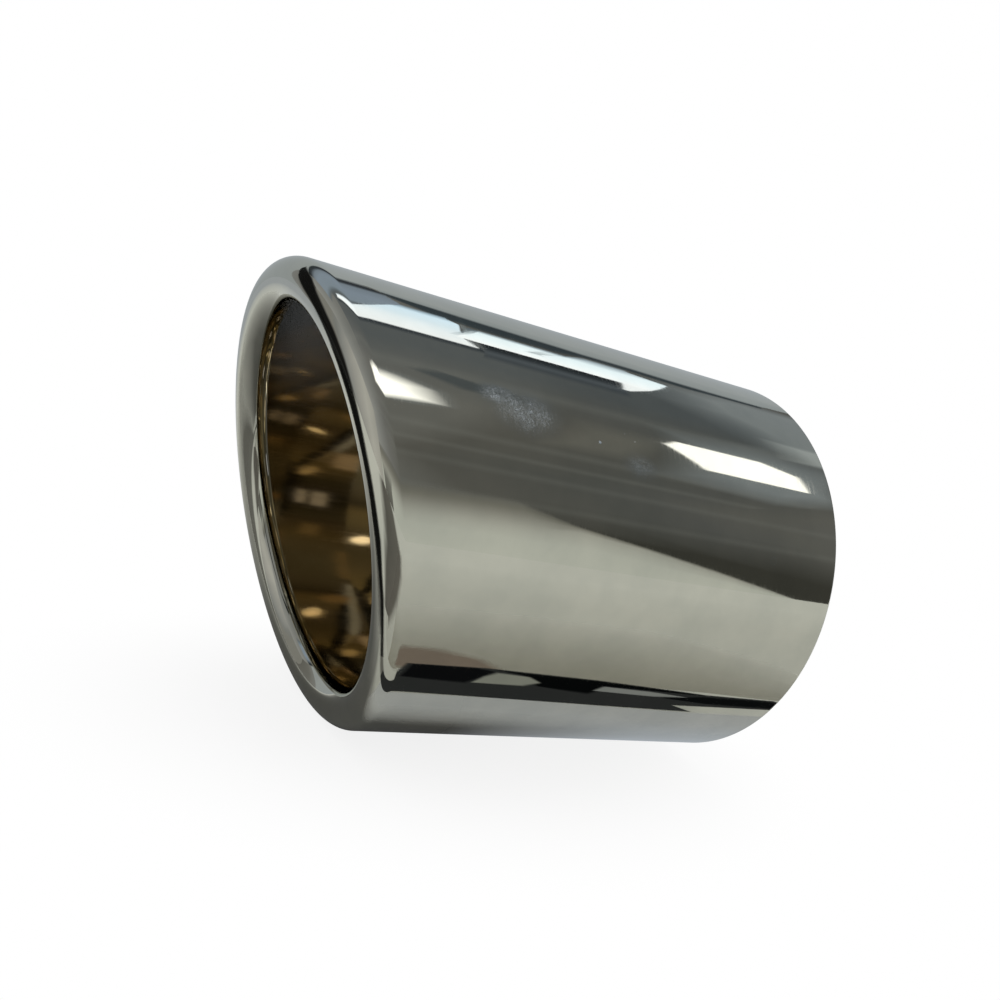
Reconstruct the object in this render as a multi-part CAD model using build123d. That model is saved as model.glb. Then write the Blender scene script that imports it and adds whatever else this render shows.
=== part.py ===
"""Slash-cut exhaust tip: one polished steel tube whose mouth is rolled inwards into a round bead.

Millimetres, +Z up. The origin is the centre of the inlet end, where the tailpipe goes in.
The tube runs along X, the gases leave towards -X, and the long side of the slash cut is on top.
"""
import os
from math import cos, radians, sin, tan

from build123d import *

# Driving dimensions
tube_diameter = 76.2        # outside of the wall
overall_length = 101.0      # inlet end to the foremost point of the bead
slash_angle = 17.6          # degrees between the mouth and a square cut
sheet_thickness = 1.0
bead_radius = 3.4           # outside of the rolled edge
crest_flat = 0.4            # flat that the roller leaves along the top of the bead
curl_angle = 210.0          # degrees of roll, from the wall round to the free edge of the sheet
inlet_edge_radius = 0.4     # the polisher rounds the outer edge of the inlet end

# The bead is rolled about an ellipse: a cylinder of ring_radius cut by the mouth plane
tube_radius = tube_diameter / 2
inner_radius = tube_radius - sheet_thickness
bead_core = bead_radius - sheet_thickness
ring_radius = tube_radius - bead_radius
tilt = radians(slash_angle)
mouth_x = bead_radius + ring_radius * tan(tilt) - overall_length
mouth = Plane(
    origin=(mouth_x, 0, 0),
    x_dir=(-sin(tilt), 0, cos(tilt)),
    z_dir=(-cos(tilt), 0, -sin(tilt)),
)

# The second half of the roll turns about a slightly smaller ellipse, inside the flat
curl_width = ring_radius - crest_flat
curl_height = ring_radius / cos(tilt) - crest_flat
curl_ring = mouth * Ellipse(curl_height, curl_width)


def rounded_bar(radius, edge_radius, back):
    """Round bar from the inlet end to the front of the bead, with its slanting front edge rounded."""
    front = mouth.offset(edge_radius)
    bar = extrude(Plane.YZ.offset(back) * Circle(radius), -(back + overall_length + tube_diameter))
    bar = split(bar, bisect_by=front, keep=Keep.BOTTOM)
    front_edge = bar.faces().sort_by(Axis.X)[0].edges()
    return fillet(front_edge, edge_radius)


def curled_sheet():
    """The sheet from the crest of the bead inwards and back, ending in its free edge."""
    top_of_ring = mouth.from_local_coords((curl_height, 0, 0))
    section = Plane(origin=top_of_ring, x_dir=mouth.x_dir, z_dir=-mouth.y_dir)
    crest = 90
    outside = CenterArc((0, 0), bead_radius, crest, curl_angle - crest)
    inside = CenterArc((0, 0), bead_core, crest, curl_angle - crest)
    free_edge = Line(outside @ 1, inside @ 1)
    joined_edge = Line(inside @ 0, outside @ 0)
    profile = make_face([outside, free_edge, inside, joined_edge])
    return sweep(section * profile, path=curl_ring.edge(), is_frenet=True)


# The wall and the outer half of the bead, hollowed out and opened at the mouth
tip_shell = rounded_bar(tube_radius, bead_radius, 0)
inlet_edge = tip_shell.edges().group_by(Axis.X)[-1]
tip_shell = fillet(inlet_edge, inlet_edge_radius)
tip_shell -= rounded_bar(inner_radius, bead_core, sheet_thickness)
tip_shell -= extrude(curl_ring, 2 * bead_radius)

# The inner half of the bead
tip_shell += curled_sheet()

os.makedirs("parts", exist_ok=True)
export_step(tip_shell, "parts/tip_shell.step")
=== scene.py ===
from math import atan2, cos, pi, radians, sin, tan

import bpy
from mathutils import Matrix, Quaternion, Vector


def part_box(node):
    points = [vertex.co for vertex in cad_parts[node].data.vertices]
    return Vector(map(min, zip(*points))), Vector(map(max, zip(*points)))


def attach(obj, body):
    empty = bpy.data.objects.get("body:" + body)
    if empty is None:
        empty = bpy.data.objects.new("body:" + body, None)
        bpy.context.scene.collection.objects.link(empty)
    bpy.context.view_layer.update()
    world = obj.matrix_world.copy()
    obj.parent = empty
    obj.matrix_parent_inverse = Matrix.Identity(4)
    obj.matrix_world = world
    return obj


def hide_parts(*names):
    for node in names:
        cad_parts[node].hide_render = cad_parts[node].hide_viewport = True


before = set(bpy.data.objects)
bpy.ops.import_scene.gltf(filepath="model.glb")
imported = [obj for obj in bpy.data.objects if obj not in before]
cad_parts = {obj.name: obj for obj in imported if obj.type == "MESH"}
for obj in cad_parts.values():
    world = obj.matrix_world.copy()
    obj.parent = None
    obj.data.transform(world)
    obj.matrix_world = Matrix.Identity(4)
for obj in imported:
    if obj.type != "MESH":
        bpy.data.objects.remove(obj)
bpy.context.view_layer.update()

scene = bpy.context.scene

# The shell: one length of stainless steel tube, cut off at a slant and polished to a mirror.
# Its mouth is rolled inwards into a round bead, so the sheet's cut edge ends up hidden inside
# the mouth. The other end is cut square, and slides over the car's tailpipe.
mm = 0.001
shell_low, shell_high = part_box("tip_shell")
tube_radius = shell_high.y
tip_length = -shell_low.x
sheet = 1.0 * mm
bead_radius = 3.4 * mm
crest_flat = 0.4 * mm
slash = radians(17.6)
curl_end = radians(210)
inlet_rounding = 0.4 * mm
cut_edge_rounding = 0.2 * mm
wall_margin = 0.1 * mm

bore_radius = tube_radius - sheet
bead_core = bead_radius - sheet
ring_radius = tube_radius - bead_radius
mouth_centre = Vector((bead_radius + ring_radius * tan(slash) - tip_length, 0, 0))
mouth_up = Vector((-sin(slash), 0, cos(slash)))
mouth_side = Vector((0, 1, 0))
mouth_out = Vector((-cos(slash), 0, -sin(slash)))


def spread(start, end, steps):
    """Evenly spaced values from start to end, with both ends."""
    return [start + (end - start) * i / steps for i in range(steps + 1)]


def on_bead(turn, inset):
    """Centre of the bead's round section at one place on its oval ring, and the way outwards there."""
    height = ring_radius / cos(slash) - inset
    width = ring_radius - inset
    centre = mouth_centre + mouth_up * height * cos(turn) + mouth_side * width * sin(turn)
    outwards = mouth_up * cos(turn) / height + mouth_side * sin(turn) / width
    return centre, outwards.normalized()


def roll(ring, radius, angles):
    """Points round the bead's section: 0 is outwards, 90 degrees is forwards, 180 is inwards."""
    centre, outwards = ring
    return [centre + radius * (cos(a) * outwards + sin(a) * mouth_out) for a in angles]


def sheet_section(turn):
    """The sheet's section at one place round the tube: outside, cut edge, inside and inlet end."""
    around = Vector((0, sin(turn), cos(turn)))
    wall_ring = on_bead(turn, 0)
    curl_ring = on_bead(turn, crest_flat)
    crest = radians(90)
    contact = atan2(around.dot(mouth_out), around.dot(wall_ring[1]))
    wall_end = wall_ring[0].x

    def wall(radius, places):
        return [Vector((x, 0, 0)) + around * radius for x in places]

    outside = wall(tube_radius, spread(-inlet_rounding - wall_margin, wall_end + wall_margin, 6))
    outside += roll(wall_ring, bead_radius, spread(contact, crest, 40))
    edge_turn = cut_edge_rounding / bead_radius
    outside += roll(curl_ring, bead_radius, spread(crest, curl_end - 2 * edge_turn, 56))

    cut_edge = []
    edge_angle = curl_end - edge_turn
    for radius, first in ((bead_radius - cut_edge_rounding, 0), (bead_core + cut_edge_rounding, 90)):
        pivot = roll(curl_ring, radius, [edge_angle])[0]
        rim_out = roll(curl_ring, 1, [edge_angle])[0] - curl_ring[0]
        rim_on = roll(curl_ring, 1, [edge_angle + crest])[0] - curl_ring[0]
        for a in spread(radians(first), radians(first + 90), 4):
            cut_edge.append(pivot + cut_edge_rounding * (cos(a) * rim_out + sin(a) * rim_on))

    inside = roll(curl_ring, bead_core, spread(curl_end - 2 * edge_turn, crest, 24))
    inside += roll(wall_ring, bead_core, spread(crest, contact, 20))
    inside += wall(bore_radius, spread(wall_end + wall_margin, -wall_margin, 4))

    inlet_end = wall(bore_radius, [0])
    for a in spread(0, radians(90), 8):
        inlet_end += wall(tube_radius - inlet_rounding * (1 - sin(a)), [inlet_rounding * (cos(a) - 1)])
    return outside + cut_edge, inside, inlet_end


# The sections go round the tube from its lowest line, and faces join each one to the next
turns = 360
sections = [sheet_section(pi + 2 * pi * i / turns) for i in range(turns)]
outside_count = len(sections[0][0])
inside_count = len(sections[0][1])
outlines = [sum(section, []) for section in sections]
outline_count = len(outlines[0])
faces = []
sides = []
for i in range(turns):
    here = i * outline_count
    there = (i + 1) % turns * outline_count
    for j in range(outline_count):
        k = (j + 1) % outline_count
        faces.append((here + j, there + j, there + k, here + k))
        sides.append(1 if outside_count <= j < outside_count + inside_count else 0)

shell_mesh = bpy.data.meshes.new("tip_shell_polished")
shell_mesh.from_pydata([point for outline in outlines for point in outline], [], faces)
shell_mesh.polygons.foreach_set("material_index", sides)
shell_mesh.shade_smooth()

# The sheet as it was before it was rolled, in mm: along it from the inlet, and round from the lowest line
unrolled = shell_mesh.uv_layers.new(name="unrolled_sheet")
flat_places = []
lengths = []
for outline in outlines:
    length = inlet_rounding + wall_margin
    along = [length / mm]
    for j in range(outline_count):
        length += (outline[(j + 1) % outline_count] - outline[j]).length
        along.append(length / mm)
    lengths.append(along)
girth = 2 * pi * tube_radius / mm
for i in range(turns):
    near = lengths[i]
    far = lengths[(i + 1) % turns]
    low = girth * i / turns
    high = girth * (i + 1) / turns
    for j in range(outline_count):
        flat_places += [near[j], low, far[j], high, far[j + 1], high, near[j + 1], low]
unrolled.uv.foreach_set("vector", flat_places)

shell = bpy.data.objects.new("tip_shell_polished", shell_mesh)
scene.collection.objects.link(shell)


def linear(colour):
    """A colour written as sRGB hex, as linear RGBA."""
    channels = [int(colour[i:i + 2], 16) / 255 for i in (1, 3, 5)]
    return [c / 12.92 if c <= 0.04045 else ((c + 0.055) / 1.055) ** 2.4 for c in channels] + [1]


def add_node(tree, kind, inputs, **settings):
    """One node with its settings, and with each input set to a value or linked to another node's output."""
    node = tree.nodes.new(kind)
    for name, value in settings.items():
        setattr(node, name, value)
    for socket, value in inputs.items():
        if isinstance(value, bpy.types.NodeSocket):
            tree.links.new(value, node.inputs[socket])
        else:
            node.inputs[socket].default_value = value
    return node


# Stainless steel, buffed to a mirror on a wheel that ran round the tube. It gives the eye a sharp,
# slightly warm mirror with a thin haze along the buffing lines, and dull spots where fingers held it.
steel = bpy.data.materials.new("mirror_polished_stainless_steel")
steel.use_nodes = True
tree = steel.node_tree
surface = tree.nodes["Principled BSDF"]
surface.inputs["Metallic"].default_value = 1
on_sheet = add_node(tree, "ShaderNodeUVMap", {}, uv_map="unrolled_sheet").outputs["UV"]

# Buffing lines are about 0.05 mm apart. They are drawn 0.35 mm apart, so that they show.
line_spacing = 0.35
line_length = 30
line_place = add_node(
    tree, "ShaderNodeVectorMath",
    {0: on_sheet, 1: (1 / line_spacing, 1 / line_length, 1)}, operation="MULTIPLY")
lines = add_node(
    tree, "ShaderNodeTexNoise",
    {"Vector": line_place.outputs[0], "Scale": 1, "Detail": 3, "Roughness": 0.6})
line_haze = add_node(
    tree, "ShaderNodeMapRange",
    {"Value": lines.outputs["Fac"], "From Min": 0.42, "From Max": 0.75, "To Min": 0.022, "To Max": 0.075})

# The tube mill's rolls leave faint lines along the tube, about 1.5 mm apart
mill_spacing = 1.5
mill_length = 70
mill_place = add_node(
    tree, "ShaderNodeVectorMath",
    {0: on_sheet, 1: (1 / mill_length, 1 / mill_spacing, 1)}, operation="MULTIPLY")
mill_lines = add_node(
    tree, "ShaderNodeTexNoise", {"Vector": mill_place.outputs[0], "Scale": 1, "Detail": 2})

# The wheel polishes some patches a little less than others, every 10 mm or so
patch_size = 10
patches = add_node(
    tree, "ShaderNodeTexNoise",
    {"Vector": on_sheet, "Scale": 1 / patch_size, "Detail": 3, "Roughness": 0.6})
patch_share = add_node(
    tree, "ShaderNodeMapRange", {"Value": patches.outputs["Fac"], "From Min": 0.35, "From Max": 0.65})
polish_colour = add_node(
    tree, "ShaderNodeMix",
    {0: patch_share.outputs[0], 6: linear("#C8C7BB"), 7: linear("#D1CFC2")}, data_type="RGBA")

# Finger marks: where on the sheet, half their size in mm, and how strong. Skin ridges are 0.35 to 0.5 mm
# apart, and the grease lies in blotches of about 2 mm.
finger_marks = [((68.5, 85), (7, 4.6), 0.75), ((73.5, 87), (4.5, 2.2), 0.85), ((47, 80), (4, 2.6), 0.5)]
ridge_along = 0.35
ridge_round = 0.5
blotch_size = 2.2
ridge_place = add_node(
    tree, "ShaderNodeVectorMath",
    {0: on_sheet, 1: (1 / ridge_along, 1 / ridge_round, 1)}, operation="MULTIPLY")
ridges = add_node(
    tree, "ShaderNodeTexNoise", {"Vector": ridge_place.outputs[0], "Scale": 1, "Detail": 2})
blotches = add_node(
    tree, "ShaderNodeTexNoise", {"Vector": on_sheet, "Scale": 1 / blotch_size, "Detail": 2})
grease = add_node(
    tree, "ShaderNodeMath", {0: ridges.outputs["Fac"], 1: blotches.outputs["Fac"]}, operation="MULTIPLY")
grease_share = add_node(
    tree, "ShaderNodeMapRange",
    {"Value": grease.outputs[0], "From Min": 0.1, "From Max": 0.4, "To Min": 0.3})
touched = None
for (along, round_tube), (half_length, half_width), strength in finger_marks:
    away = add_node(
        tree, "ShaderNodeVectorMath", {0: on_sheet, 1: (along, round_tube, 0)}, operation="SUBTRACT")
    scaled = add_node(
        tree, "ShaderNodeVectorMath",
        {0: away.outputs[0], 1: (1 / half_length, 1 / half_width, 1)}, operation="MULTIPLY")
    mark_reach = add_node(tree, "ShaderNodeVectorMath", {0: scaled.outputs[0]}, operation="LENGTH")
    mark = add_node(
        tree, "ShaderNodeMapRange",
        {"Value": mark_reach.outputs["Value"], "From Min": 1.15, "From Max": 0.25, "To Max": strength},
        interpolation_type="SMOOTHSTEP")
    if touched:
        mark = add_node(
            tree, "ShaderNodeMath", {0: touched.outputs[0], 1: mark.outputs[0]}, operation="MAXIMUM")
    touched = mark
smear = add_node(
    tree, "ShaderNodeMath", {0: touched.outputs[0], 1: grease_share.outputs[0]}, operation="MULTIPLY")

# Dust specks, and a small ring that a drop left: where on the sheet, inner and outer radius in mm, and
# how strong
specks = [
    ((55, 82.8), 0, 0.28, 0.9), ((49.5, 85.5), 0, 0.15, 0.3), ((47.6, 84.4), 0, 0.15, 0.3),
    ((16.3, 68.6), 0.5, 0.8, 0.12)]
for (along, round_tube), inner, outer, strength in specks:
    away = add_node(
        tree, "ShaderNodeVectorMath", {0: on_sheet, 1: (along, round_tube, 0)}, operation="DISTANCE")
    rim = add_node(
        tree, "ShaderNodeMath",
        {0: away.outputs["Value"], 1: (inner + outer) / 2, 2: (outer - inner) / 2}, operation="COMPARE")
    smear = add_node(
        tree, "ShaderNodeMath",
        {0: rim.outputs[0], 1: strength, 2: smear.outputs[0]}, operation="MULTIPLY_ADD")
smear_dulling = add_node(
    tree, "ShaderNodeMath",
    {0: smear.outputs[0], 1: 0.35, 2: line_haze.outputs[0]}, operation="MULTIPLY_ADD")
tree.links.new(smear_dulling.outputs[0], surface.inputs["Roughness"])
smear_colour = add_node(
    tree, "ShaderNodeMix",
    {0: smear.outputs[0], 6: polish_colour.outputs[2], 7: linear("#CCD6DE")}, data_type="RGBA")
tree.links.new(smear_colour.outputs[2], surface.inputs["Base Color"])

# Heights: 0.04 micrometres in a buffing line, 0.4 in a mill line and 3 in a patch
micrometre = 0.001 * mm
line_relief = add_node(
    tree, "ShaderNodeBump", {"Height": lines.outputs["Fac"], "Strength": 1, "Distance": 0.04 * micrometre})
mill_relief = add_node(
    tree, "ShaderNodeBump",
    {"Height": mill_lines.outputs["Fac"], "Strength": 1, "Distance": 0.4 * micrometre,
     "Normal": line_relief.outputs[0]})
patch_relief = add_node(
    tree, "ShaderNodeBump",
    {"Height": patches.outputs["Fac"], "Strength": 1, "Distance": 3 * micrometre,
     "Normal": mill_relief.outputs[0]})
tree.links.new(patch_relief.outputs[0], surface.inputs["Normal"])
shell_mesh.materials.append(steel)

# The same steel on the inside, bright as the tube mill drew it. It gives the eye a darker, golden
# mirror, a little blurred by drawing lines that run along the tube, about 0.6 mm apart.
bore_steel = bpy.data.materials.new("bright_drawn_stainless_steel")
bore_steel.use_nodes = True
tree = bore_steel.node_tree
surface = tree.nodes["Principled BSDF"]
on_sheet = add_node(tree, "ShaderNodeUVMap", {}, uv_map="unrolled_sheet").outputs["UV"]
drawn_spacing = 0.6
drawn_length = 45
drawn_place = add_node(
    tree, "ShaderNodeVectorMath",
    {0: on_sheet, 1: (1 / drawn_length, 1 / drawn_spacing, 1)}, operation="MULTIPLY")
drawn_lines = add_node(
    tree, "ShaderNodeTexNoise", {"Vector": drawn_place.outputs[0], "Scale": 1, "Detail": 3})
drawn_haze = add_node(
    tree, "ShaderNodeMapRange",
    {"Value": drawn_lines.outputs["Fac"], "From Min": 0.35, "From Max": 0.75,
     "To Min": 0.03, "To Max": 0.09})
tree.links.new(drawn_haze.outputs[0], surface.inputs["Roughness"])
tint_size = 14
tints = add_node(
    tree, "ShaderNodeTexNoise", {"Vector": on_sheet, "Scale": 1 / tint_size, "Detail": 2})
bore_colour = add_node(
    tree, "ShaderNodeMix",
    {0: tints.outputs["Fac"], 6: linear("#C2B7A0"), 7: linear("#D0C9BA")}, data_type="RGBA")

# A thin film of dust on the upper side by the mouth, which hides a quarter of the steel there: where its
# middle is on the sheet, and half its size, in mm
film_middle = (122, 140, 0)
film_half = (23, 27, 1)
from_film = add_node(tree, "ShaderNodeVectorMath", {0: on_sheet, 1: film_middle}, operation="SUBTRACT")
film_place = add_node(
    tree, "ShaderNodeVectorMath", {0: from_film.outputs[0], 1: film_half}, operation="DIVIDE")
film_reach = add_node(tree, "ShaderNodeVectorMath", {0: film_place.outputs[0]}, operation="LENGTH")
film = add_node(
    tree, "ShaderNodeMapRange", {"Value": film_reach.outputs["Value"], "From Min": 1.2, "From Max": 0.2},
    interpolation_type="SMOOTHSTEP")
bare_steel = add_node(
    tree, "ShaderNodeMath", {0: film.outputs[0], 1: -0.25, 2: 1}, operation="MULTIPLY_ADD")
tree.links.new(bare_steel.outputs[0], surface.inputs["Metallic"])
dusty_colour = add_node(
    tree, "ShaderNodeMix",
    {0: film.outputs[0], 6: bore_colour.outputs[2], 7: linear("#C2C6C8")}, data_type="RGBA")
tree.links.new(dusty_colour.outputs[2], surface.inputs["Base Color"])
drawn_relief = add_node(
    tree, "ShaderNodeBump",
    {"Height": drawn_lines.outputs["Fac"], "Strength": 1, "Distance": 0.2 * micrometre})
tree.links.new(drawn_relief.outputs[0], surface.inputs["Normal"])
shell_mesh.materials.append(bore_steel)

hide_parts("tip_shell")
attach(shell, "root")

# The floor: a sheet of white paper that the tip lies on. It keeps the tip's soft shadow close by,
# and further off it is as white as the room behind it.
floor_gap = 0.05 * mm
floor_z = shell_low.z - floor_gap
floor_half = 3000 * mm
floor_corners = [(-1, -1), (1, -1), (1, 1), (-1, 1)]
floor_mesh = bpy.data.meshes.new("floor")
floor_mesh.from_pydata(
    [(x * floor_half, y * floor_half, floor_z) for x, y in floor_corners], [], [(0, 1, 2, 3)])
floor = bpy.data.objects.new("floor", floor_mesh)
scene.collection.objects.link(floor)


def looked_at(tree):
    """1 for what is looked at, straight, in the steel or through glass, and 0 where light only falls."""
    path = add_node(tree, "ShaderNodeLightPath", {}).outputs
    straight_or_mirrored = add_node(
        tree, "ShaderNodeMath", {0: path["Is Camera Ray"], 1: path["Is Glossy Ray"]}, operation="ADD")
    either_or_through = add_node(
        tree, "ShaderNodeMath",
        {0: straight_or_mirrored.outputs[0], 1: path["Is Transmission Ray"]}, operation="ADD")
    return either_or_through.outputs[0]


# White paper: matt, with no shine of its own. The shadow's size, in mm, is half of an oval round the tip.
shadow_half = (100, 75)
paper = bpy.data.materials.new("white_paper")
paper.use_nodes = True
tree = paper.node_tree
surface = tree.nodes["Principled BSDF"]
surface.inputs["Base Color"].default_value = linear("#F4F4F4")
surface.inputs["Roughness"].default_value = 1
surface.inputs["Specular IOR Level"].default_value = 0
place = add_node(tree, "ShaderNodeNewGeometry", {})
from_tip = add_node(
    tree, "ShaderNodeVectorMath",
    {0: place.outputs["Position"], 1: (-tip_length / 2, 0, floor_z)}, operation="SUBTRACT")
footprint = add_node(
    tree, "ShaderNodeVectorMath",
    {0: from_tip.outputs[0], 1: (1 / (shadow_half[0] * mm), 1 / (shadow_half[1] * mm), 0)},
    operation="MULTIPLY")
shadow_reach = add_node(tree, "ShaderNodeVectorMath", {0: footprint.outputs[0]}, operation="LENGTH")
whiteness = add_node(
    tree, "ShaderNodeMapRange",
    {"Value": shadow_reach.outputs["Value"], "From Min": 0.3, "From Max": 0.85,
     "To Min": 0.85, "To Max": 1},
    interpolation_type="SMOOTHSTEP")
white_share = add_node(
    tree, "ShaderNodeMath", {0: looked_at(tree), 1: whiteness.outputs[0]}, operation="MULTIPLY")
white = add_node(tree, "ShaderNodeEmission", {"Color": (1, 1, 1, 1), "Strength": 1})
mixed = add_node(
    tree, "ShaderNodeMixShader", {0: white_share.outputs[0], 1: surface.outputs[0], 2: white.outputs[0]})
tree.links.new(mixed.outputs[0], tree.nodes["Material Output"].inputs["Surface"])
floor_mesh.materials.append(paper)

# The room: a studio lined with white card. It is white all round where it is looked at, and gives an
# even soft light, a little weaker than that, from everywhere.
world = bpy.data.worlds.new("white_studio")
world.use_nodes = True
scene.world = world
tree = world.node_tree
background = tree.nodes["Background"]
background.inputs["Color"].default_value = (1, 1, 1, 1)
brightness = add_node(
    tree, "ShaderNodeMapRange", {"Value": looked_at(tree), "To Min": 0.85, "To Max": 1})
tree.links.new(brightness.outputs[0], background.inputs["Strength"])

# What the polished steel mirrors: a grey studio with two lamps, a row of windows, pale boards and a
# dark gap in the table. They are glowing sheets that only the steel sees, so the background stays white,
# and the light and shade on them are painted into their tones.
glowing = bpy.data.materials.new("glowing_sheet")
glowing.use_nodes = True
tree = glowing.node_tree
tree.nodes.clear()
tone = add_node(tree, "ShaderNodeAttribute", {}, attribute_name="tone")
glow = add_node(tree, "ShaderNodeEmission", {"Color": tone.outputs["Color"], "Strength": 1})
clear = add_node(tree, "ShaderNodeBsdfTransparent", {})
mixed = add_node(
    tree, "ShaderNodeMixShader", {0: tone.outputs["Alpha"], 1: clear.outputs[0], 2: glow.outputs[0]})
add_node(tree, "ShaderNodeOutputMaterial", {"Surface": mixed.outputs[0]})


def show_in_mirror_only(made):
    """Adds a piece of the studio that shows only in the steel, and that casts no light or shade."""
    made.visible_camera = False
    made.visible_diffuse = False
    made.visible_transmission = False
    made.visible_volume_scatter = False
    made.visible_shadow = False
    scene.collection.objects.link(made)


def sheet_of_light(name, rows, brightness=1, closed=False):
    """A glowing sheet through rows of points in mm. A row is a colour, how dense it is, and its points.
    The colours run into each other from row to row. A closed sheet is filled inside its first row."""
    count = len(rows[0][2])
    points = [Vector(point) * mm for colour, density, line in rows for point in line]
    quads = []
    for i in range(len(rows) - 1):
        for j in range(count if closed else count - 1):
            k = (j + 1) % count
            quads.append((i * count + j, i * count + k, (i + 1) * count + k, (i + 1) * count + j))
    if closed:
        quads.append(range(count))
    mesh = bpy.data.meshes.new(name)
    mesh.from_pydata(points, [], quads)
    tones = mesh.color_attributes.new("tone", "FLOAT_COLOR", "POINT")
    shades = []
    for colour, density, line in rows:
        glow_colour = [channel * brightness for channel in linear(colour)[:3]]
        shades += (glow_colour + [density]) * len(line)
    tones.data.foreach_set("color", shades)
    mesh.materials.append(glowing)
    made = bpy.data.objects.new(name, mesh)
    show_in_mirror_only(made)


# The studio's walls are one grey paper sheet that goes up the front, over the top and down the back, with
# two more at its sides. Their places are in mm, and the table is level with the lowest line of the tip.
top = 600
front = -700
rear = 700
left = -800
right = 1200
base = -tube_radius / mm
room_tones = [
    (left, "#A6A8AA"), (-400, "#8E9092"), (-150, "#7E7F80"), (100, "#797A7A"), (270, "#747574"),
    (340, "#646462"), (450, "#606160"), (560, "#5C5E5E"), (700, "#5E6061"), (900, "#6A6B6A"),
    (right, "#6C6D6E")]
sheet_of_light("room_sheet", [
    (colour, 1, [(x, front, base), (x, front, top), (x, rear, top), (x, rear, base)])
    for x, colour in room_tones])
side_tones = [
    (front, "#B8B8B6"), (-300, "#C6C6C4"), (0, "#B2B2B2"), (160, "#A2A4A6"), (255, "#929496"),
    (350, "#929290"), (rear, "#929290")]
sheet_of_light("left_side", [(colour, 1, [(left, y, base), (left, y, top)]) for y, colour in side_tones])
sheet_of_light("right_side", [("#6C6D6E", 1, [(right, y, base), (right, y, top)]) for y in (front, rear)])

# Two lamps: white plastic panels lit from inside, hung under the ceiling, each with a soft halo round it.
# The left one is half turned away, so its far end fades.
left_lamp = [
    (-20, -240), (50, -205), (130, -178), (150, -185), (180, -215), (204, -268), (180, -290), (60, -308),
    (-30, -305)]
left_fade = [
    (-100, -215), (20, -160), (150, -132), (180, -156), (221, -198), (250, -280), (200, -316), (60, -338),
    (-110, -345)]
right_lamp = [(462, -180), (468, -146), (575, -146), (640, -190), (706, -297), (556, -299)]
right_glow = [(520, -150), (600, -150), (660, -200), (735, -310), (710, -380), (600, -320)]


def overhead(outline, drop):
    """Places on the ceiling, hung a little below it."""
    return [(x, y, top - drop) for x, y in outline]


def grown(points, margin):
    """The same outline, moved out from its middle by a margin."""
    middle = sum((Vector(point) for point in points), Vector()) / len(points)
    return [Vector(point) + (Vector(point) - middle).normalized() * margin for point in points]


def soft_patch(name, colour, density, shape, margin, brightness=1):
    """A glowing patch that fades out over a margin all round it."""
    rows = [(colour, density, shape), (colour, 0, grown(shape, margin))]
    sheet_of_light(name, rows, brightness, closed=True)


soft_patch("left_lamp_halo", "#BAC6D2", 0.4, overhead(left_lamp, 5), 60)
left_lamp_rows = [("#FFFFFF", 1, overhead(left_lamp, 6)), ("#FFFFFF", 0, overhead(left_fade, 6))]
sheet_of_light("left_lamp", left_lamp_rows, brightness=2.3, closed=True)
soft_patch("right_lamp_halo", "#BAC6D2", 0.4, overhead(right_glow, 5), 140)
soft_patch("right_lamp", "#FFFFFF", 1, overhead(right_lamp, 6), 8, brightness=1.9)
between_lamps = overhead([(390, -220), (440, -220), (450, -320), (400, -330)], 3.5)
soft_patch("between_lamps", "#9A9A94", 0.22, between_lamps, 90)
dark_strip = overhead([(196, -98), (212, -78), (262, -105), (290, -128), (236, -134)], 5.5)
soft_patch("dark_strip", "#444E56", 0.65, dark_strip, 22)

# The ceiling: battens nailed along it, slightly paler than the sheet behind them, and cooler tones towards
# the windows, palest to the right of the lamps
for i, (y, width) in enumerate(((-70, 44), (-455, 42), (-590, 36))):
    sheet_of_light("batten_%d" % i, [
        ("#9A9E9E", density, overhead([(-500, y - 30 + shift), (100, y + shift), (800, y + 20 + shift)], 3))
        for density, shift in ((0, -width), (0.13, 0), (0, width))])
cool_rows = ((-240, 0), (-60, 0.3), (60, 0.6), (300, 0.6), (420, 0))
sheet_of_light("cool_ceiling", [
    ("#56606A", density, overhead([(-300, y), (right, y)], 2)) for y, density in cool_rows])
far_ceiling = overhead([(575, 330), (560, 220), (610, 60), (900, 60), (900, 400), (650, 400)], 4)
far_ceiling_rows = [("#949CA3", 0.85, far_ceiling), ("#889098", 0, grown(far_ceiling, 130))]
sheet_of_light("far_ceiling", far_ceiling_rows, closed=True)
far_corner = overhead([(620, 40), (650, -50), (900, -60), (900, 60)], 4.5)
far_corner_rows = [("#B4BCC2", 0.85, far_corner), ("#A8B0B6", 0, grown(far_corner, 70))]
sheet_of_light("far_corner", far_corner_rows, closed=True)

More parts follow.
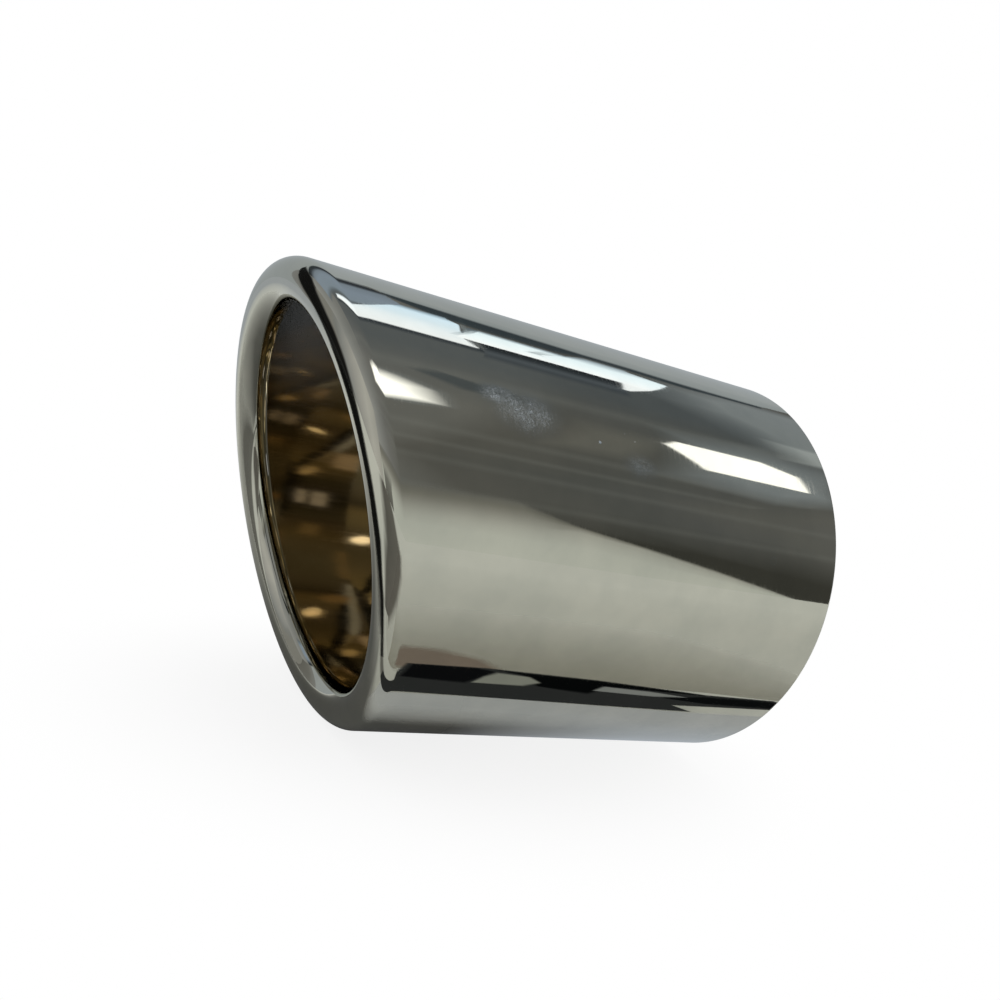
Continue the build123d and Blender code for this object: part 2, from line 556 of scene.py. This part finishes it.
# Roof windows: glass in painted frames, white at their sill and bluish further up, with a dark sill under
# them and a dark shelf under the right-hand one
sheet_of_light("window_strip", [
    ("#EEF4FF", 0, overhead([(-240, 180), (-180, 164), (-100, 150), (0, 138), (90, 148), (150, 172)], 7)),
    ("#EEF4FF", 1, overhead([(-200, 195), (-150, 178), (-80, 163), (0, 150), (90, 162), (150, 180)], 7)),
    ("#E6F0FF", 1, overhead([(-190, 208), (-140, 205), (-70, 205), (0, 215), (80, 232), (150, 262)], 7)),
    ("#A8B6C8", 0, overhead([(-210, 222), (-150, 225), (-70, 228), (0, 240), (80, 260), (160, 292)], 7))],
    brightness=1.8)
sheet_of_light("window_one", [
    ("#EEF4FF", 0, overhead([(140, 172), (252, 174)], 8)),
    ("#EEF4FF", 1, overhead([(140, 182), (252, 182)], 8)),
    ("#E8F2FF", 1, overhead([(146, 262), (247, 238)], 8)),
    ("#D6E8FA", 1, overhead([(176, 325), (262, 320)], 8)),
    ("#CFE6FC", 1, overhead([(210, 400), (282, 398)], 8)),
    ("#A8C0D6", 0.8, overhead([(226, 432), (280, 436)], 8)),
    ("#90A4B8", 0, overhead([(244, 470), (288, 468)], 8))], brightness=1.6)
sheet_of_light("window_two", [
    ("#EEF4FF", 1, overhead([(240, 238), (340, 237), (415, 234), (452, 230)], 8.5)),
    ("#E6F2FF", 1, overhead([(256, 290), (360, 285), (440, 285), (482, 285)], 8.5)),
    ("#DCECFA", 1, overhead([(284, 360), (384, 352), (446, 352), (524, 365)], 8.5)),
    ("#A8B8C8", 0.8, overhead([(294, 380), (393, 368), (440, 412), (490, 410)], 8.5)),
    ("#90A0B0", 0, overhead([(304, 400), (402, 390), (448, 450), (500, 445)], 8.5))], brightness=1.7)
sheet_of_light("window_sliver", [
    ("#EEF4FF", 1, overhead([(404, 168), (412, 168)], 8)),
    ("#EEF4FF", 1, overhead([(418, 234), (453, 232)], 8))], brightness=1.6)
sheet_of_light("window_bar", [
    ("#9AAAB8", 0.2, overhead([(236, 252), (243, 252)], 9)),
    ("#8A9AA8", 0.6, overhead([(268, 330), (278, 330)], 9)),
    ("#66727E", 0.9, overhead([(288, 392), (302, 392)], 9))])
sheet_of_light("window_blind", [
    ("#AEBBC6", 0, overhead([(318, 282), (344, 282)], 9)),
    ("#9AA8B4", 0.7, overhead([(326, 292), (342, 298)], 9)),
    ("#AEBBC6", 0, overhead([(372, 372), (392, 366)], 9))])
sheet_of_light("dark_sill", [
    ("#3C444E", 0, overhead([(-240, 140), (0, 108), (150, 136), (256, 140)], 6)),
    ("#363D46", 0.85, overhead([(-240, 166), (0, 136), (150, 160), (256, 164)], 6)),
    ("#363D46", 0.85, overhead([(-240, 200), (0, 160), (150, 185), (256, 190)], 6))])
sheet_of_light("dark_shelf", [
    ("#4E555E", 0, overhead([(246, 100), (404, 100)], 6)),
    ("#4A515A", 0.9, overhead([(252, 135), (406, 135)], 6)),
    ("#5A626C", 0.9, overhead([(256, 165), (408, 160)], 6)),
    ("#383E45", 1, overhead([(262, 200), (412, 195)], 6)),
    ("#24282D", 1, overhead([(264, 242), (425, 242)], 6))])

# Above the windows: a pale painted cornice to the left, and a dark band that narrows to the right, with
# the pale wall behind it
sheet_of_light("pale_corner", [
    ("#6E7882", 0, overhead([(-500, 215), (0, 225), (160, 270)], 4)),
    ("#78838F", 0.9, overhead([(-500, 255), (0, 262), (160, 300)], 4)),
    ("#98A8BC", 0.9, overhead([(-500, 310), (0, 300), (200, 330)], 4)),
    ("#98A8BE", 0.9, overhead([(-500, 480), (0, 460), (236, 425)], 4)),
    ("#8C9AAC", 0.9, overhead([(-500, 560), (-50, 540), (250, 548)], 4)),
    ("#3A4048", 0.95, overhead([(-500, 640), (-50, 600), (258, 590)], 4)),
    ("#2C333A", 0.95, overhead([(-500, rear), (-50, 660), (262, 635)], 4)),
    ("#9CA4AA", 0.95, overhead([(-500, rear), (-50, rear), (262, rear)], 4))])
band_rows = [
    ("#3A434B", 0, [
        (250, 540), (262, 430), (300, 395), (400, 392), (455, 450), (515, 440), (575, 415), (640, 435),
        (720, 450)]),
    ("#404950", 1, [
        (256, 575), (275, 465), (318, 430), (402, 425), (462, 475), (520, 465), (588, 440), (652, 455),
        (730, 470)]),
    ("#3A434A", 1, [
        (262, 620), (290, 590), (350, 545), (392, 530), (470, 500), (530, 500), (596, 478), (660, 478),
        (740, 490)]),
    ("#A2AAB0", 1, [
        (270, 650), (300, 626), (372, 594), (418, 576), (490, 545), (550, 545), (620, 520), (690, 515),
        (770, 520)]),
    ("#A8AFB4", 1, [(x, rear) for x in (270, 310, 400, 450, 540, 620, 720, 820, right)])]
sheet_of_light("dark_band", [(colour, density, overhead(line, 5)) for colour, density, line in band_rows])

# A pale painted board stands along the front. Its top edge is lost in the dark on the left and sharp on
# the right, with darkness beyond it. Each row gives the board's height at each place along it.
board_places = [left, -100, 200, 330, 400, 452, 526, 631, 745]
board_rows = [
    ("#D1D5D1", 1, [base] * len(board_places)),
    ("#CCD0CC", 1, [60, 62, 68, 75, 78, 78, 50, 10, base]),
    ("#C1C4C0", 1, [110, 113, 120, 128, 132, 138, 105, 32, -37.8]),
    ("#B6B8B4", 1, [140, 143, 150, 160, 164, 180, 140, 54, -37.5]),
    ("#979793", 1, [195, 198, 208, 222, 228, 203, 149, 62, -37]),
    ("#858580", 1, [228, 231, 242, 255, 262, 210, 153, 65, -36.5]),
    ("#7A7A76", 0.8, [262, 266, 278, 292, 300, 216, 157, 68, -36]),
    ("#70706E", 0, [296, 300, 312, 326, 335, 224, 162, 72, -35])]


def on_front(outline, gap=2):
    """Places on the front of the room."""
    return [(x, front + gap, z) for x, z in outline]


sheet_of_light("front_board", [
    (colour, density, on_front(list(zip(board_places, heights))))
    for colour, density, heights in board_rows])
front_dark = on_front(
    [(520, 172), (631, 78), (750, -28), (762, base), (870, base), (840, 60), (740, 120), (620, 165)], 1)
front_dark_rows = [("#3E3E3A", 0.92, front_dark), ("#484844", 0, grown(front_dark, 270))]
sheet_of_light("front_dark", front_dark_rows, closed=True)
for i, (z, width) in enumerate(((545, 44), (312, 36))):
    sheet_of_light("front_batten_%d" % i, [
        ("#9A9E9E", density, on_front([(-200, z + shift), (400, z - 6 + shift), (right, z + 6 + shift)], 3))
        for density, shift in ((0, -width), (0.1, 0), (0, width))])

# The back of the room: a painted wall, pale and bluish, greyer to the left. The table before it takes on
# its tone.
back_gap = 2


def on_back(outline):
    """Places on the back of the room."""
    return [(x, rear - back_gap, z) for x, z in outline]


def on_table(outline, lift):
    """Places on the table, a little above it."""
    return [(x, y, base + lift) for x, y in outline]


sheet_of_light("back_board", [
    ("#A8AFB4", 0.95, on_back([(-430, base), (50, base), (right, base)])),
    ("#AEB5BA", 0.95, on_back([(-430, top), (50, top), (right, top)]))])
sheet_of_light("back_dark", [
    ("#727270", 1, on_back([(left, base), (left, top)])),
    ("#7E7E7C", 1, on_back([(-560, base), (-560, top)])),
    ("#868684", 0, on_back([(-400, base), (-400, top)]))])
sheet_of_light("table_back", [
    ("#A6ADB6", 0, on_table([(-500, 160), (400, 160)], 0.2)),
    ("#A6ADB6", 0.85, on_table([(-500, 380), (400, 380)], 0.2)),
    ("#A6ADB6", 0.85, on_table([(-500, rear), (400, rear)], 0.2))])

# The far end of the table, past the mouth: a darker grey wedge of painted shade beside the paler table.
# It narrows to a point under the tip's lip.
far_end_rows = [
    (0, [
        (-86, -31), (-102, -26), (-108, -16), (-114, -3), (-124, 12), (-134, 30), (-144, 56), (-158, 130),
        (-190, 260)]),
    (0.9, [
        (-86, -32), (-104, -29), (-112, -21), (-120, -9), (-130, 7), (-142, 26), (-154, 54), (-172, 130),
        (-210, 260)]),
    (0.9, [
        (-86, -34), (-104, -32.5), (-120, -28), (-132, -24), (-160, -10), (-190, 10), (-240, 44),
        (-300, 110), (-400, 260)]),
    (0, [
        (-86, -35), (-102, -35), (-124, -33), (-140, -30), (-176, -20), (-220, -8), (-290, 20), (-370, 80),
        (-500, 260)])]
sheet_of_light("table_far_end", [
    ("#626260", density, on_table(line, 0.7)) for density, line in far_end_rows])

# A black strip stands close before the near side of the lip, which shows it as a thin dark line: a painted
# reflection of the shade in the table's dark gap.
# Each place on it is a turn round the mouth, and the two angles on the bead's section that it spans there.
lip_line = [
    (-11, 56, 10), (-20, 100, 36), (-26, 116, 66), (-31, 126, 76), (-36, 134, 80), (-44, 143, 87),
    (-56, 144, 99), (-66, 138, 108), (-72, 133, 104), (-79, 133, 99), (-85, 124, 92), (-92, 114, 94),
    (-98, 103, 85), (-106, 88, 77), (-112, 74, 64)]
strip_distance = 24.3
strip_middle = -71
shift_per_degree = -0.39
least_shift = -20.2
strip_edges = []
for density, end, soft in ((0, 1, 6), (0.97, 1, -4), (0.97, 2, 4), (0, 2, -6)):
    line = []
    for place in lip_line:
        middle, outwards = on_bead(radians(place[0]), 0)
        sideways = max(least_shift, shift_per_degree * (place[0] - strip_middle))
        off = (strip_distance ** 2 - sideways ** 2) ** 0.5
        shifted = (middle + outwards.cross(mouth_out) * sideways * mm, outwards)
        line += [point / mm for point in roll(shifted, off * mm, [radians(place[end] + soft)])]
    strip_edges.append(("#0A0B0C", density, line))
sheet_of_light("lip_line", strip_edges)

# A darker patch lies flat on the table before the mouth, and another stands behind it on the front of the
# room. Both fade at their edges.
dark_patch_rows = [
    ("#5C5955", 0, [(-100, -42), (-88, -70), (-72, -110), (-68, -165), (-200, -420), (-420, front)]),
    ("#5C5955", 0.9, [(-105, -46), (-98, -72), (-90, -110), (-92, -150), (-260, -400), (-520, front)]),
    ("#4A4744", 0.9, [(-112, -40), (-132, -52), (-150, -80), (-210, -130), (-500, -320), (left, -620)]),
    ("#5C5955", 0, [(-116, -36), (-145, -42), (-180, -62), (-280, -100), (-560, -240), (left, -480)])]
sheet_of_light("dark_table_patch", [
    (colour, density, on_table(line, 0.5)) for colour, density, line in dark_patch_rows])
sheet_of_light("dark_front_patch", [
    ("#4A4744", 0.85, on_front([(-700, base), (-480, base), (-300, base)], 4)),
    ("#4A4744", 0.7, on_front([(-700, 80), (-480, 90), (-320, 80)], 4)),
    ("#4A4744", 0, on_front([(-720, 160), (-480, 170), (-260, 160)], 4))])

# The shadow under the tip, the pale light that reaches under its inlet end, and the shades on the near
# part of the table: its own, one along the gap, one under the lip, and a pale stripe beyond the gap
shadow_rows = [
    ("#3A3A3A", 0.82, [(-88, -19), (-96, 10), (-106, 34), (-66, 46), (-40, 44), (-54, -17)]),
    ("#6E6E6E", 0.66, [(-100, -23), (-122, 10), (-140, 62), (-88, 95), (-14, 80), (-30, -21)]),
    ("#767676", 0, [(-112, -27), (-165, 20), (-200, 130), (-110, 190), (40, 160), (4, -25)])]
sheet_of_light("tip_shadow", [
    (colour, density, on_table(line, 0.3)) for colour, density, line in shadow_rows], closed=True)
sheet_of_light("under_inlet", [
    ("#B0B7C0", 0.9, on_table([(-14, -22), (20, -22), (20, -12), (-14, -12)], 0.4)),
    ("#B0B7C0", 0, on_table([(-58, -31), (44, -31), (44, 0), (-58, 0)], 0.4))], closed=True)
near_rows = ((-230, 0), (-140, 0.12), (-110, 0.2), (-40, 0.25))
sheet_of_light("table_near", [
    ("#9A9A94", density, on_table([(-110, y), (320, y)], 0.2)) for y, density in near_rows])
before_gap_rows = [
    (0, [(-95, -75), (-60, -84), (-25, -86), (10, -84), (30, -66), (46, -42)]),
    (0.3, [(-92, -62), (-60, -64), (-25, -65), (5, -64), (22, -54), (42, -41)]),
    (0.55, [(-90, -52), (-60, -53), (-25, -52), (2, -51), (16, -46), (36, -40)]),
    (0.8, [(-88, -40), (-60, -42), (-25, -41), (0, -40), (12, -39), (28, -38)])]
sheet_of_light("before_gap", [
    ("#8C8B82", density, on_table(line, 0.4)) for density, line in before_gap_rows])
lip_shade = [
    (-74, -43), (-71, -49), (-66, -50.5), (-60, -49.5), (-54, -47.5), (-51, -44), (-53, -42), (-62, -41.5)]
soft_patch("lip_shade", "#7C7169", 0.95, on_table(lip_shade, 0.6), 3.5)
sheet_of_light("beside_gap", [
    ("#B0B4B9", 0.9, on_table([(-86, -31.5), (-50, -31.5), (-5, -30), (40, -30)], 0.45)),
    ("#B0B4B9", 0.8, on_table([(-86, -27), (-50, -26), (-5, -26), (40, -26)], 0.45)),
    ("#B0B4B9", 0, on_table([(-86, -20), (-50, -19), (-5, -19), (40, -19)], 0.45))])

# A gap between the table's two boards, its darkness painted shade, blackest along its near edge, with two
# pale patches of painted light where light falls into it
gap = [
    (-88, -31), (-70, -32), (-5, -30.5), (-10, -33), (20, -33.5), (24, -36), (20, -38), (0, -38.7),
    (-28, -42), (-52, -43.8), (-68, -43.5), (-71, -39), (-72, -36.5), (-80, -35.5), (-88, -34)]
soft_patch("table_gap", "#303234", 1, on_table(gap, 0.8), 0.7)
gap_parts = [
    ("gap_black_left", "#0C0D10", [
        (-70, -38), (-58, -37.4), (-54, -40), (-51, -42.4), (-55, -43.4), (-67, -43.2)]),
    ("gap_black_right", "#040607", [
        (-42, -37.6), (-31, -36.2), (-24, -39.4), (0, -38.2), (-28, -41.6), (-50, -43.2), (-44, -41.8)]),
    ("gap_black_end", "#0C0E10", [
        (-12, -36), (0, -34.5), (18, -34.2), (22, -36), (18, -37.4), (0, -37.6)]),
    ("gap_patch_one", "#8E918C", [
        (-56, -37.4), (-46, -37.6), (-42, -39), (-44, -41), (-50, -41.6), (-53, -40)]),
    ("gap_patch_two", "#8A8E90", [
        (-29, -37.2), (-15, -36.5), (-6, -36.9), (-16, -38.3), (-26, -39.2)])]
for i, (name, colour, outline) in enumerate(gap_parts):
    soft_patch(name, colour, 0.95, on_table(outline, 0.85 + 0.05 * i), 1)

# A dark sleeve behind the inlet end, standing in for the tailpipe, keeps most of the room out of the bore.
# It is painted shade, and its tones paint the golden reflections in the bore. It is half a millimetre wider
# all round than the bore, and closed at its far end.
sleeve_start = 0.1
sleeve_length = 50
sleeve_gap = 0.5
sleeve_radius = bore_radius / mm + sleeve_gap


def in_sleeve(outline, inset):
    """Places on the sleeve: how far behind the inlet in mm, and how many degrees up from the back."""
    radius = sleeve_radius - inset
    return [(x, radius * cos(radians(a)), radius * sin(radians(a))) for x, a in outline]


# The sleeve's tones, a turn round it and its colour: painted shade, and the golden reflections that the
# bore shows
sleeve_painted_tones = [
    (180, "#302E24"), (165, "#38362A"), (150, "#464234"), (140, "#504C3E"), (125, "#585040"),
    (112, "#665C44"), (100, "#70664A"), (85, "#706852"), (60, "#6E6A58"), (30, "#6A6654"), (10, "#645E4E"),
    (0, "#585242"), (-8, "#464032"), (-20, "#7A6E50"), (-35, "#766C50"), (-50, "#5C5440"), (-65, "#5C5440"),
    (-80, "#5A523C"), (-95, "#625840"), (-110, "#706446"), (-125, "#786C4A"), (-140, "#665E48"),
    (-155, "#484434"), (-170, "#464236"), (-180, "#302E24")]
sheet_of_light("bore_shade_sleeve", [
    (colour, 1, in_sleeve([(sleeve_start, turn), (sleeve_length, turn)], 0))
    for turn, colour in sleeve_painted_tones])
end_rim = [(sleeve_length - 1, turn) for turn in range(0, 360, 15)]
sheet_of_light("sleeve_end", [("#565550", 1, in_sleeve(end_rim, 0.5))], closed=True)

# Darkness just inside the sleeve: a turn round it, and how far in the darkness reaches there
mouth_reach = [
    (128, 0.6), (140, 3), (155, 3.5), (170, 3.5), (185, 3.5), (198, 6), (210, 5), (222, 3), (235, 0.6)]
sheet_of_light("sleeve_mouth", [
    ("#141310", 0.9, in_sleeve([(0.3, turn) for turn, x in mouth_reach], 0.6)),
    ("#141310", 0.9, in_sleeve([(x, turn) for turn, x in mouth_reach], 0.6)),
    ("#141310", 0, in_sleeve([(1.6 * x, turn) for turn, x in mouth_reach], 0.6))])

# A dark and a pale streak low in the sleeve, painted reflections that the bore shows: how far in, at which
# turn, and half the streak's width
dark_streak = [
    (23, -30, 1), (22, -42, 1.8), (19.6, -55, 2.4), (18.4, -66, 2.5), (15.8, -82, 1.7), (13, -98, 1.8),
    (9.5, -113, 2.8), (6, -127, 1.5), (2.5, -137, 1)]
pale_streak = [
    (28.3, -12, 0.3), (27, -26, 1.1), (25.9, -41, 1.6), (24.1, -63, 1.7), (20.4, -86, 1.7),
    (18.6, -97, 0.4)]
streaks = [("sleeve_dark", "#0C0D0F", 1.5, dark_streak), ("sleeve_pale", "#C8D0D8", 1.2, pale_streak)]
for name, colour, inset, streak in streaks:
    sheet_of_light(name, [
        (colour, density, in_sleeve([(x + side * (half + soft), turn) for x, turn, half in streak], inset))
        for density, side, soft in ((0, -1, 1), (0.97, -1, 0), (0.97, 1, 0), (0, 1, 1))])

# Small glowing patches in the sleeve, painted highlights for the bore, and one brighter one that leans so
# that the bore shows it once in full
sleeve_lights = [
    ("sleeve_light_edge", "#C4CCD4", 3, [(28, 10), (33, 10), (33, -22), (28.5, -22), (27, -8)]),
    ("sleeve_light_back", "#9C8C6C", 4, [(27, 75), (33, 75), (33, 50), (33, 25), (27, 25), (26, 50)]),
    ("sleeve_light_gold", "#FFE8B8", 2.5, [
        (5.5, -148), (8.5, -136), (12, -133), (13, -138), (9.5, -147)]),
    ("sleeve_light_pale", "#B8AE94", 2, [
        (9, -117), (13, -106), (17, -97), (18.5, -99), (14, -112), (10.5, -122)]),
    ("sleeve_light_far", "#DCCCB8", 3, [
        (21, -100), (30, -97), (31, -112), (31, -125), (21, -124), (20.5, -112)]),
    ("sleeve_light_one", "#DCDCE4", 1, [
        (6.8, 159), (6.8, 170), (6.8, 182), (10.8, 182), (10.8, 170), (10.8, 158)]),
    ("sleeve_light_two", "#DCDCE4", 1, [
        (14, 157), (14, 170), (14, 182), (20.5, 182), (20.5, 170), (20.5, 157)]),
    ("sleeve_light_high", "#9C8A66", 4, [(10, 102), (12, 118), (18, 118), (16, 102)]),
    ("sleeve_light_side", "#A89068", 4, [(14, -22), (20, -16), (26, -14), (26, -22), (18, -28)])]
for i, (name, colour, softness, outline) in enumerate(sleeve_lights):
    soft_patch(name, colour, 0.95, in_sleeve(outline, 1 + 0.05 * i), softness)
highlight_middle = Vector((4, 16.3, -27.9))
highlight_across = Vector((2.2, -1.64, 3.4))
highlight_up = Vector((-0.82, 0.87, 3.03))
low_highlight = []
for turn in range(0, 360, 45):
    low_highlight.append(highlight_middle + highlight_across * cos(radians(turn)) + highlight_up * sin(radians(turn)))
soft_patch("sleeve_painted_highlight", "#FFF2D8", 1, low_highlight, 1.5, brightness=2.8)

# The table itself: grey card, matt, laid on the floor, which takes the tip's shadow
card_lift = 0.02 * mm
card_corners = [(left, front), (right, front), (right, rear), (left, rear)]
grey_mesh = bpy.data.meshes.new("grey_card")
grey_mesh.from_pydata([(x * mm, y * mm, floor_z + card_lift) for x, y in card_corners], [], [(0, 1, 2, 3)])
grey = bpy.data.materials.new("grey_card")
grey.use_nodes = True
surface = grey.node_tree.nodes["Principled BSDF"]
surface.inputs["Base Color"].default_value = linear("#E6E9E6")
surface.inputs["Roughness"].default_value = 1
surface.inputs["Specular IOR Level"].default_value = 0
grey_mesh.materials.append(grey)
grey_card = bpy.data.objects.new("grey_card", grey_mesh)
show_in_mirror_only(grey_card)

# The camera: a little above the tip's axis, off its mouth's right-hand side, and turned so that the tip
# leans in the picture. It is near, so the mouth looks larger than the inlet end.
eye = Vector((-149.4, -157.7, 27.3)) * mm
aim = Vector((-50.2, 0.6, 5.3)) * mm
lean = radians(14.6)
camera_data = bpy.data.cameras.new("camera")
camera_data.sensor_width = 36
camera_data.lens = 36
camera_data.clip_start = 10 * mm
camera = bpy.data.objects.new("camera", camera_data)
camera.location = eye
camera.rotation_mode = "QUATERNION"
camera.rotation_quaternion = (aim - eye).to_track_quat("-Z", "Y") @ Quaternion((0, 0, 1), lean)
scene.collection.objects.link(camera)
scene.camera = camera
scene.view_settings.view_transform = "Standard"
